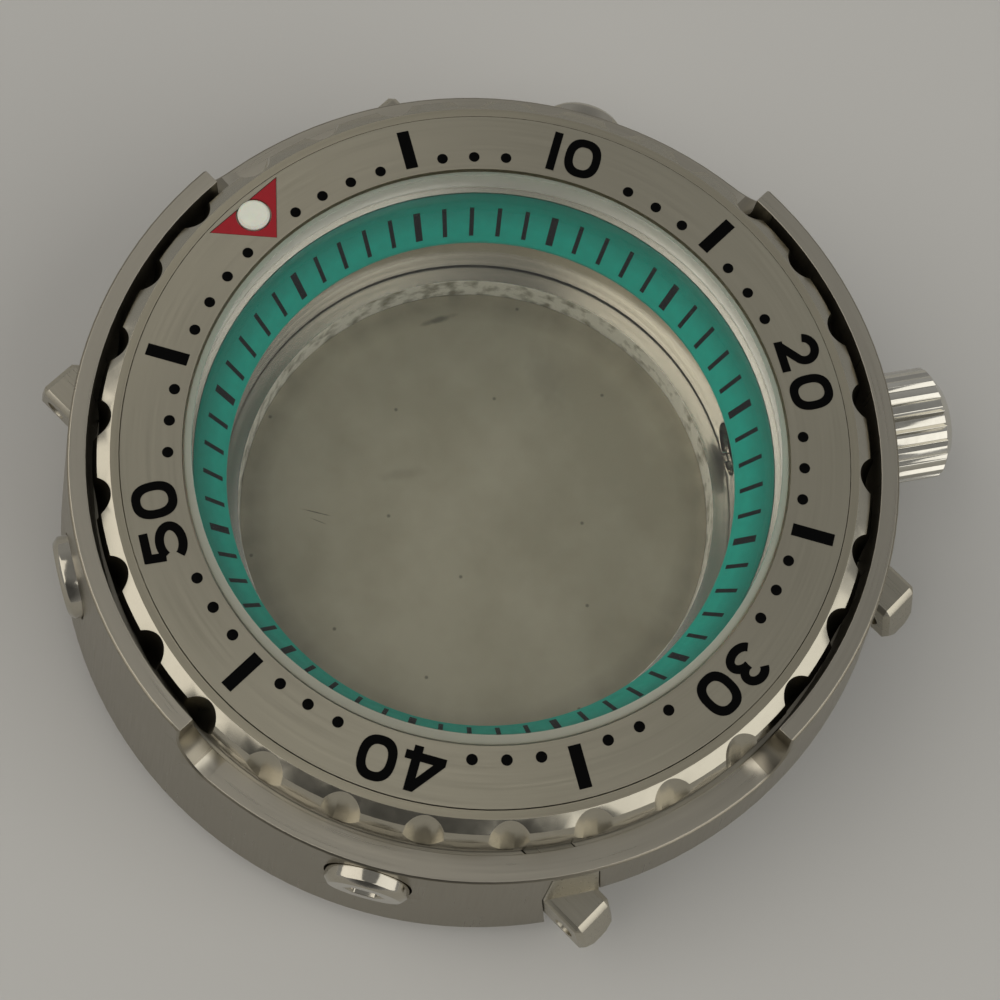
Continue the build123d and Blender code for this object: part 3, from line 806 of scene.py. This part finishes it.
@dataclass
class Glass:
    """Glass, its gasket and the printed chapter ring below it."""

    edge: float = 0.03 * MM
    face_least: float = 0.95  # upward part of a polished face's normal
    slope_reach: float = 13.8 * MM  # foot of the slope that carries the marks
    slope_foot: float = 0.2 * MM
    mark_foot: float = 0.12  # share of the slope below the marks
    mark_length: float = 1.9 * MM
    mark_width: float = 0.25 * MM
    five_mark_width: float = 0.4 * MM
    mark_edge: float = 0.012 * MM
    ink_height: float = 0.03 * MM
    glass_rise: float = 0.01 * MM  # off its ledge, so that the two faces don't mix
    # Polished mineral glass: clear, with faint smears in its gloss
    glass: MineralGlass = MineralGlass()
    # Ground mineral glass: a milky grey-white band
    ground: MineralGlass = MineralGlass("ground_glass_edge", "#c4c5b8", roughness=0.3, clear=0.55)
    # Moulded nylon: off-white and waxy, with light that sinks in a little
    nylon: Paint = Paint("nylon_gasket", "#c9c8bb", "#bbbaad", roughness=0.35, subsurface=0.3)
    # Sprayed satin lacquer: even blue-green that deepens towards the glass, partly as a fumé tone and
    # partly as painted shade under the gasket and bezel
    lacquer: Paint = Paint(
        "green_satin_lacquer",
        "#0aa896",
        "#089684",
        roughness=0.5,
        shine=0.25,
        rim="#00584b",
        rim_start=14.3 * MM,
        rim_end=15.7 * MM,
    )
    # Pad-printed ink: flat matt black
    ink: Paint = Paint("black_pad_ink", "#020202", "#040404", roughness=0.6, shine=0.05)

    def mark(self, width: float) -> bpy.types.Object:
        """Models one mark at 12 o'clock, on the slope of the chapter ring.

        Args:
            width: Width of the mark, in metres.

        Returns:
            The mark, with its place in its mesh.
        """
        low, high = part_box("chapter_ring")
        foot = Vector((0, self.slope_reach, low.z + self.slope_foot))
        top = Vector((0, high.x, high.z))
        slope = top - foot
        middle = foot + slope * self.mark_foot + slope.normalized() * self.mark_length / 2
        tilt = math.atan2(slope.z, slope.y)
        bpy.ops.mesh.primitive_cube_add(size=1, location=middle, rotation=(tilt, 0, 0))
        piece = bpy.context.object
        piece.scale = (width, self.mark_length, self.ink_height)
        settle(piece)
        bevel_edges(piece, self.mark_edge, PRINT_ANGLE)
        return piece

    def build(self) -> None:
        """Dresses the glass and models the chapter ring's marks."""
        crystal = refine("crystal", "crystal_polished", self.edge)
        crystal.location.z = self.glass_rise
        finish_piece(crystal, self.glass.build(), "case")
        crystal.data.materials.append(self.ground.build())
        for face in crystal.data.polygons:
            if abs(face.normal.z) < self.face_least:
                face.material_index = 1
        dress("crystal_gasket", self.nylon.build())
        dress("chapter_ring", self.lacquer.build())
        ink = self.ink.build()
        fives = list(range(0, MINUTES, 5))
        others = [minute for minute in range(MINUTES) if minute % 5]
        thin = copy_round(self.mark(self.mark_width), others, "chapter_minute_marks")
        thick = copy_round(self.mark(self.five_mark_width), fives, "chapter_five_minute_marks")
        for piece in (thin, thick):
            finish_piece(piece, ink, "case")


class Digit(Enum):
    """Digit of a numeral on the insert."""

    ZERO = "0"
    ONE = "1"
    TWO = "2"
    THREE = "3"
    FOUR = "4"
    FIVE = "5"


def arc(
    middle: tuple[float, float],
    reach: tuple[float, float],
    start: float,
    end: float,
    square: float = 1.0,
) -> list[tuple[float, float]]:
    """Points along an elliptical arc.

    Args:
        middle: Centre of the ellipse.
        reach: Its half axes.
        start: First angle, in degrees.
        end: Last angle, in degrees.
        square: Power of the sine and cosine; less than one makes the corners fuller.

    Returns:
        Points in order.
    """
    steps = max(int(abs(end - start) / ARC_STEP), 2)
    turns = [math.radians(start + (end - start) * step / steps) for step in range(steps + 1)]
    return [
        tuple(
            place + half * math.copysign(abs(share) ** square, share)
            for place, half, share in zip(middle, reach, (math.cos(turn), math.sin(turn)))
        )
        for turn in turns
    ]


def ribbon(points: list[tuple[float, float]], width: float) -> list[tuple[float, float]]:
    """Outlines a pen stroke with square ends.

    Args:
        points: The stroke's middle line.
        width: Width of the pen.

    Returns:
        The outline's points in order.
    """
    line = [Vector(point) for point in points]
    left, right = [], []
    for place, point in enumerate(line):
        before = point - line[max(place - 1, 0)]
        after = line[min(place + 1, len(line) - 1)] - point
        ways = [way.normalized() for way in (before, after) if way.length > 0]
        way = sum(ways, Vector((0, 0))).normalized()
        side = Vector((-way.y, way.x)) * width / 2 / max(way.dot(ways[0]), BEND_LEAST)
        left.append(tuple(point + side))
        right.append(tuple(point - side))
    return left + right[::-1]


def shapes(digit: Digit, pen: float) -> list[list[list[tuple[float, float]]]]:
    """Flat shapes that make up a digit, from its middle.

    Args:
        digit: The digit.
        pen: Width of its strokes, in millimetres.

    Returns:
        Shapes, each with its outline and its holes, in millimetres.
    """
    if digit is Digit.ZERO:
        outer, inner = (
            arc((0, 0), (0.75 + side * pen / 2, 0.93 + side * pen / 2), 0, 350, 0.82)
            for side in (1, -1)
        )
        return [[outer, inner]]
    if digit is Digit.FOUR:
        outline = [
            (0.17, 1.16), (0.63, 1.16), (0.63, -0.4), (0.98, -0.4), (0.98, -0.84),
            (0.63, -0.84), (0.63, -1.16), (0.17, -1.16), (0.17, -0.84), (-1.1, -0.84),
            (-1.1, -0.46),
        ]
        return [[outline, [(0.17, 0.46), (0.17, -0.4), (-0.5, -0.4)]]]
    if digit is Digit.ONE:
        lines = [[(0, -1.16), (0, 1.16)]]
    elif digit is Digit.TWO:
        bow = arc((-0.18, 0.32), (0.64, 0.61), 172, -38)
        lines = [bow + [(-0.66, -0.93)], [(-0.88, -0.93), (0.86, -0.93)]]
    elif digit is Digit.THREE:
        upper = arc((-0.08, 0.47), (0.58, 0.46), 160, -90)
        lower = arc((-0.08, -0.45), (0.7, 0.48), 90, -158)
        lines = [upper, lower]
    else:
        bowl = arc((-0.1, -0.36), (0.86, 0.58), 140, -148)
        lines = [[(-0.96, 0.95), (0.62, 0.95)], [(-0.74, 1.1), (-0.82, 0.04)], bowl]
    return [[ribbon(line, pen)] for line in lines]


@dataclass
class Bezel:
    """Bezel ring with its printed insert, red triangle and luminous pip."""

    edge: float = 0.06 * MM
    dot_reach: float = 16.56 * MM
    dot_radius: float = 0.29 * MM
    dot_minutes: tuple = (2, 3, 4, 6, 7, 8)  # of each ten
    bar_inner: float = 16.28 * MM
    bar_outer: float = 18.52 * MM
    bar_width: float = 0.66 * MM
    digit_reach: float = 17.4 * MM
    digit_places: tuple = (  # of both digits of 10 to 50
        (-1.02 * MM, 0.58 * MM),
        (-1.13 * MM, 1.12 * MM),
        (-1.11 * MM, 0.98 * MM),
        (-1.18 * MM, 1.1 * MM),
        (-1.18 * MM, 1.08 * MM),
    )
    stroke: float = 0.46 * MM
    ink_height: float = 0.03 * MM
    triangle_base: float = 18.68 * MM
    triangle_tip: float = 16.09 * MM
    triangle_half: float = 2.36 * MM
    enamel_sink: float = 0.03 * MM  # below the insert's face
    enamel_depth: float = 0.2 * MM
    pip_gap: float = 0.09 * MM
    land_least: float = 0.97  # upward part of the flat land's normal
    # Polished 316L steel: bright scallops with soft glints
    ring_steel: SteelFinish = SteelFinish(
        "polished_bezel_steel",
        dark="#a6a192",
        light="#b5b0a1",
        roughness=0.24,
        grain=Grain.NONE,
        line=0.5 * MM,
        depth=1e-6,
    )
    # Satin 316L steel: the flat land beside the insert, with fine rings
    land_steel: SteelFinish = SteelFinish(
        "satin_bezel_steel", dark="#b2ab96", light="#bdb6a1", roughness=0.32, depth=1e-6
    )
    # Spun 316L steel: a warm grey face with fine rings and a soft fan of light
    insert_steel: SteelFinish = SteelFinish(
        "brushed_insert_steel", dark="#b2ac98", light="#bdb7a4", roughness=0.34, depth=1e-6
    )
    # Ink in etched figures: flat matt black
    ink: Paint = Paint("black_etched_ink", "#020202", "#040404", roughness=0.6, shine=0.05)
    # Fired enamel: deep glossy red
    red: Paint = Paint("red_enamel", "#a3101c", "#8f0c18", roughness=0.25, coat=0.3)
    # Luminous compound: a warm white, grainy and soft
    lume: Paint = Paint("luminous_compound", "#eef0e2", "#dfe2d2", roughness=0.5, subsurface=0.2)

    def top(self) -> float:
        """Height of the insert's printed face."""
        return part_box("bezel_insert")[1].z

    def dots(self) -> bpy.types.Object:
        """Models the minute dots.

        Returns:
            The joined dots.
        """
        bpy.ops.mesh.primitive_cylinder_add(
            vertices=DOT_SIDES,
            radius=self.dot_radius,
            depth=2 * self.ink_height,
            location=(0, self.dot_reach, self.top()),
        )
        model = bpy.context.object
        settle(model)
        bevel_edges(model, 0.5 * self.ink_height, PRINT_ANGLE)
        minutes = [minute + ten for ten in range(0, MINUTES, 10) for minute in self.dot_minutes]
        beside_triangle = [1, MINUTES - 1]
        return copy_round(model, minutes + beside_triangle, "insert_minute_dots")

    def bars(self) -> bpy.types.Object:
        """Models the bars of the odd five minutes.

        Returns:
            The joined bars.
        """
        middle = (self.bar_inner + self.bar_outer) / 2
        bpy.ops.mesh.primitive_cube_add(size=1, location=(0, middle, self.top()))
        model = bpy.context.object
        model.scale = (self.bar_width, self.bar_outer - self.bar_inner, 2 * self.ink_height)
        settle(model)
        bevel_edges(model, 0.5 * self.ink_height, PRINT_ANGLE)
        return copy_round(model, list(range(5, MINUTES, 10)), "insert_bars")

    def plate(self, loops: list[list[tuple[float, float]]]) -> bpy.types.Object:
        """Models one flat shape in millimetres.

        Args:
            loops: Its outline and its holes.

        Returns:
            The plate, as thick as the ink.
        """
        curve = bpy.data.curves.new("digit", "CURVE")
        curve.dimensions = "2D"
        curve.fill_mode = "BOTH"
        curve.extrude = self.ink_height / MM
        for loop in loops:
            spline = curve.splines.new("POLY")
            spline.points.add(len(loop) - 1)
            spline.use_cyclic_u = True
            for point, (across, up) in zip(spline.points, loop):
                point.co = (across, up, 0, 1)
        piece = bpy.data.objects.new(curve.name, curve)
        bpy.context.scene.collection.objects.link(piece)
        activate(piece)
        bpy.ops.object.convert(target="MESH")
        piece = bpy.context.object
        bpy.ops.object.mode_set(mode="EDIT")
        bpy.ops.mesh.select_all(action="SELECT")
        bpy.ops.mesh.remove_doubles(threshold=WELD_GAP / MM)
        bpy.ops.mesh.normals_make_consistent(inside=False)
        bpy.ops.object.mode_set(mode="OBJECT")
        return piece

    def digit(self, digit: Digit, place: float) -> bpy.types.Object:
        """Models one digit at 12 o'clock.

        Args:
            digit: The digit.
            place: Its middle, to the right of the numeral's middle, in metres.

        Returns:
            The digit, with its place in its mesh.
        """
        plates = [self.plate(loops) for loops in shapes(digit, self.stroke / MM)]
        piece = plates[0]
        for other in plates[1:]:
            combine(piece, other, "UNION")
        piece.scale = (MM, MM, MM)
        piece.location = (place, self.digit_reach, self.top())
        settle(piece)
        return piece

    def numerals(self) -> bpy.types.Object:
        """Models the numerals from 10 to 50.

        Returns:
            The joined numerals.
        """
        pieces = []
        digits = (Digit.ONE, Digit.TWO, Digit.THREE, Digit.FOUR, Digit.FIVE)
        for number, (digit, places) in enumerate(zip(digits, self.digit_places), start=1):
            first = self.digit(digit, places[0])
            second = self.digit(Digit.ZERO, places[1])
            pair = join([first, second], f"numeral_{number}")
            pair.rotation_euler = (0, 0, -2 * math.pi * 10 * number / MINUTES)
            settle(pair)
            pieces.append(pair)
        return join(pieces, "insert_numerals")

    def triangle(self) -> bpy.types.Object:
        """Models the red enamel that fills the insert's triangle.

        Returns:
            The enamel.
        """
        top = self.top() - self.enamel_sink
        bpy.ops.mesh.primitive_cone_add(vertices=3, radius1=1, radius2=1, depth=1, location=(0, 0, 0))
        piece = bpy.context.object
        for vertex in piece.data.vertices:
            vertex.co.z = top if vertex.co.z > 0 else top - self.enamel_depth
            if abs(vertex.co.x) < 0.5:  # the others are at 0.87, as the cone's radius is 1
                vertex.co.x, vertex.co.y = 0, self.triangle_tip
            else:
                vertex.co.x = math.copysign(self.triangle_half, vertex.co.x)
                vertex.co.y = self.triangle_base
        settle(piece)
        bpy.ops.object.mode_set(mode="EDIT")
        bpy.ops.mesh.select_all(action="SELECT")
        bpy.ops.mesh.normals_make_consistent(inside=False)
        bpy.ops.object.mode_set(mode="OBJECT")
        low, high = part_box("lume_pip")
        middle = (low + high) / 2
        bpy.ops.mesh.primitive_cylinder_add(
            vertices=HOLE_SIDES,
            radius=(high.x - low.x) / 2 + self.pip_gap,
            depth=10 * self.enamel_depth,
            location=(middle.x, middle.y, top),
        )
        combine(piece, bpy.context.object, "DIFFERENCE")
        piece.name = "insert_triangle"
        return piece

    def build(self) -> None:
        """Dresses the bezel's nodes and models its printing."""
        ring = refine("bezel_ring", "bezel_ring_polished", self.edge)
        finish_piece(ring, self.ring_steel.build(), "bezel")
        face_up(ring, self.land_steel.build(), self.land_least)
        dress("bezel_insert", self.insert_steel.build())
        dress("lume_pip", self.lume.build())
        ink = self.ink.build()
        for piece in (self.dots(), self.bars(), self.numerals()):
            finish_piece(piece, ink, "bezel")
        finish_piece(self.triangle(), self.red.build(), "bezel")


@dataclass
class Crown:
    """Crown, its tube and the pieces inside it."""

    edge: float = 0.03 * MM
    # Polished 316L steel: the brightest piece, with sharp glints on its flutes
    steel: SteelFinish = SteelFinish(
        "polished_crown_steel",
        dark="#c4c0b4",
        light="#d8d5cb",
        roughness=0.13,
        grain=Grain.NONE,
        line=0.4 * MM,
        depth=1e-6,
    )
    # Fine-turned 316L steel: smooth and a little dull
    tube: SteelFinish = SteelFinish("turned_tube_steel", roughness=0.22, grain=Grain.NONE)
    # Moulded nitrile rubber: matt black with a soft sheen
    rubber: Paint = Paint("nitrile_rubber", "#131313", "#1b1b1a", roughness=0.6)

    def build(self) -> None:
        """Dresses the nodes of the crown."""
        crown = refine("crown", "crown_polished", self.edge)
        finish_piece(crown, self.steel.build(), "crown")
        tube = self.tube.build()
        for node in ("crown_tube", "crown_retainer", "crown_post"):
            dress(node, tube)
        rubber = self.rubber.build()
        for node in ("tube_gasket", "crown_gasket", "caseback_gasket"):
            dress(node, rubber)


@dataclass
class Back:
    """Screw-in back: its threaded ring and its plate."""

    ring_steel: BackSteel = BackSteel()
    plate_steel: WornFloorSteel = WornFloorSteel()

    def build(self) -> None:
        """Dresses the back."""
        dress("caseback", self.ring_steel.build())
        dress("back_plate", self.plate_steel.build())


@dataclass(frozen=True)
class Softbox:
    """Square soft lamp that faces the object: its place and side in metres, its power in watts."""

    name: str
    place: tuple
    size: float
    power: float
    colour: str

    def build(self) -> None:
        """Hangs the lamp."""
        bpy.ops.object.light_add(type="AREA", location=self.place)
        lamp = bpy.context.object
        lamp.name = self.name
        lamp.data.size = self.size
        lamp.data.energy = self.power
        lamp.data.color = linear(self.colour)[:3]
        lamp.rotation_euler = (-Vector(self.place)).to_track_quat("-Z", "Y").to_euler()


@dataclass
class Studio:
    """Pale floor, soft lamps and the camera of the photograph."""

    floor_size: float = 2.0
    floor_colour: str = "#c6c5c1"
    floor_roughness: float = 0.8
    world_colour: str = "#ffffff"
    zenith_strength: float = 0.25
    horizon_strength: float = 0.36
    sky_levels: tuple = (0.5, 0.93)  # of a direction's height, from horizon to zenith
    shaded_way: tuple = (-0.76, -0.45, 0.48)  # where the photographer stood
    shaded_levels: tuple = (0.75, 0.95)  # of the nearness to that way, from open to shaded
    shaded_share: float = 0.25
    lamps: tuple = (
        Softbox("window", (0.16, -0.66, 0.5), 0.9, 2.9, "#fffdf8"),
        Softbox("ceiling", (-0.55, 0.5, 0.75), 1.2, 5.3, "#fffaf2"),
    )
    stand: tuple = (-30.78 * MM, -20.19 * MM, 115.9 * MM)
    aim: tuple = (-1.757 * MM, -2.505 * MM, 14.0 * MM)
    roll: float = 14.329
    lens: float = 75.1

    def floor(self) -> None:
        """Lays the floor, a plain pale card with a dull face."""
        bpy.ops.mesh.primitive_plane_add(size=self.floor_size)
        floor = bpy.context.object
        floor.name = "floor"
        tree, shader = new_material("floor_card")
        values = {"Base Color": self.floor_colour, "Roughness": self.floor_roughness}
        fill(tree, shader, values, {})
        floor.data.materials.append(bpy.data.materials["floor_card"])

    def light(self) -> None:
        """Sets the world, which is darker overhead and where the photographer stood, and the lamps."""
        world = bpy.data.worlds.new("studio")
        bpy.context.scene.world = world
        world.use_nodes = True
        tree = world.node_tree
        way = add_node(tree, "TexCoord").outputs["Generated"]
        height = add_node(tree, "SeparateXYZ", links={0: way}).outputs[2]
        toward = add_node(
            tree, "VectorMath", {1: self.shaded_way}, {0: way}, operation="DOT_PRODUCT"
        )
        strength, shade = (
            add_node(
                tree,
                "MapRange",
                {"From Min": levels[0], "From Max": levels[1], "To Min": first, "To Max": last},
                {"Value": share},
            )
            for levels, first, last, share in (
                (self.sky_levels, self.horizon_strength, self.zenith_strength, height),
                (self.shaded_levels, 1.0, self.shaded_share, toward),
            )
        )
        shaded = add_node(tree, "Math", links={0: strength, 1: shade}, operation="MULTIPLY")
        background = tree.nodes["Background"]
        fill(tree, background, {"Color": self.world_colour}, {"Strength": shaded})
        for lamp in self.lamps:
            lamp.build()

    def camera(self) -> None:
        """Sets the camera where the photograph was taken."""
        data = bpy.data.cameras.new("camera")
        data.lens = self.lens
        data.sensor_width = SENSOR_WIDTH
        data.clip_start = MM
        camera = bpy.data.objects.new("camera", data)
        bpy.context.scene.collection.objects.link(camera)
        way = Vector(self.aim) - Vector(self.stand)
        look = way.to_track_quat("-Z", "Y").to_matrix()
        turned = look @ Matrix.Rotation(math.radians(self.roll), 3, "Z")
        camera.matrix_world = Matrix.Translation(self.stand) @ turned.to_4x4()
        bpy.context.scene.camera = camera

    def build(self) -> None:
        """Builds the whole studio."""
        self.floor()
        self.light()
        self.camera()
        bpy.context.scene.view_settings.view_transform = "Standard"


def main() -> None:
    """Builds the sub-assemblies and the studio."""
    for part in (Case(), Glass(), Bezel(), Crown(), Back(), Studio()):
        part.build()
        log.info("finished %s", type(part).__name__)
    bpy.context.view_layer.update()


if __name__ == "__main__":
    main()
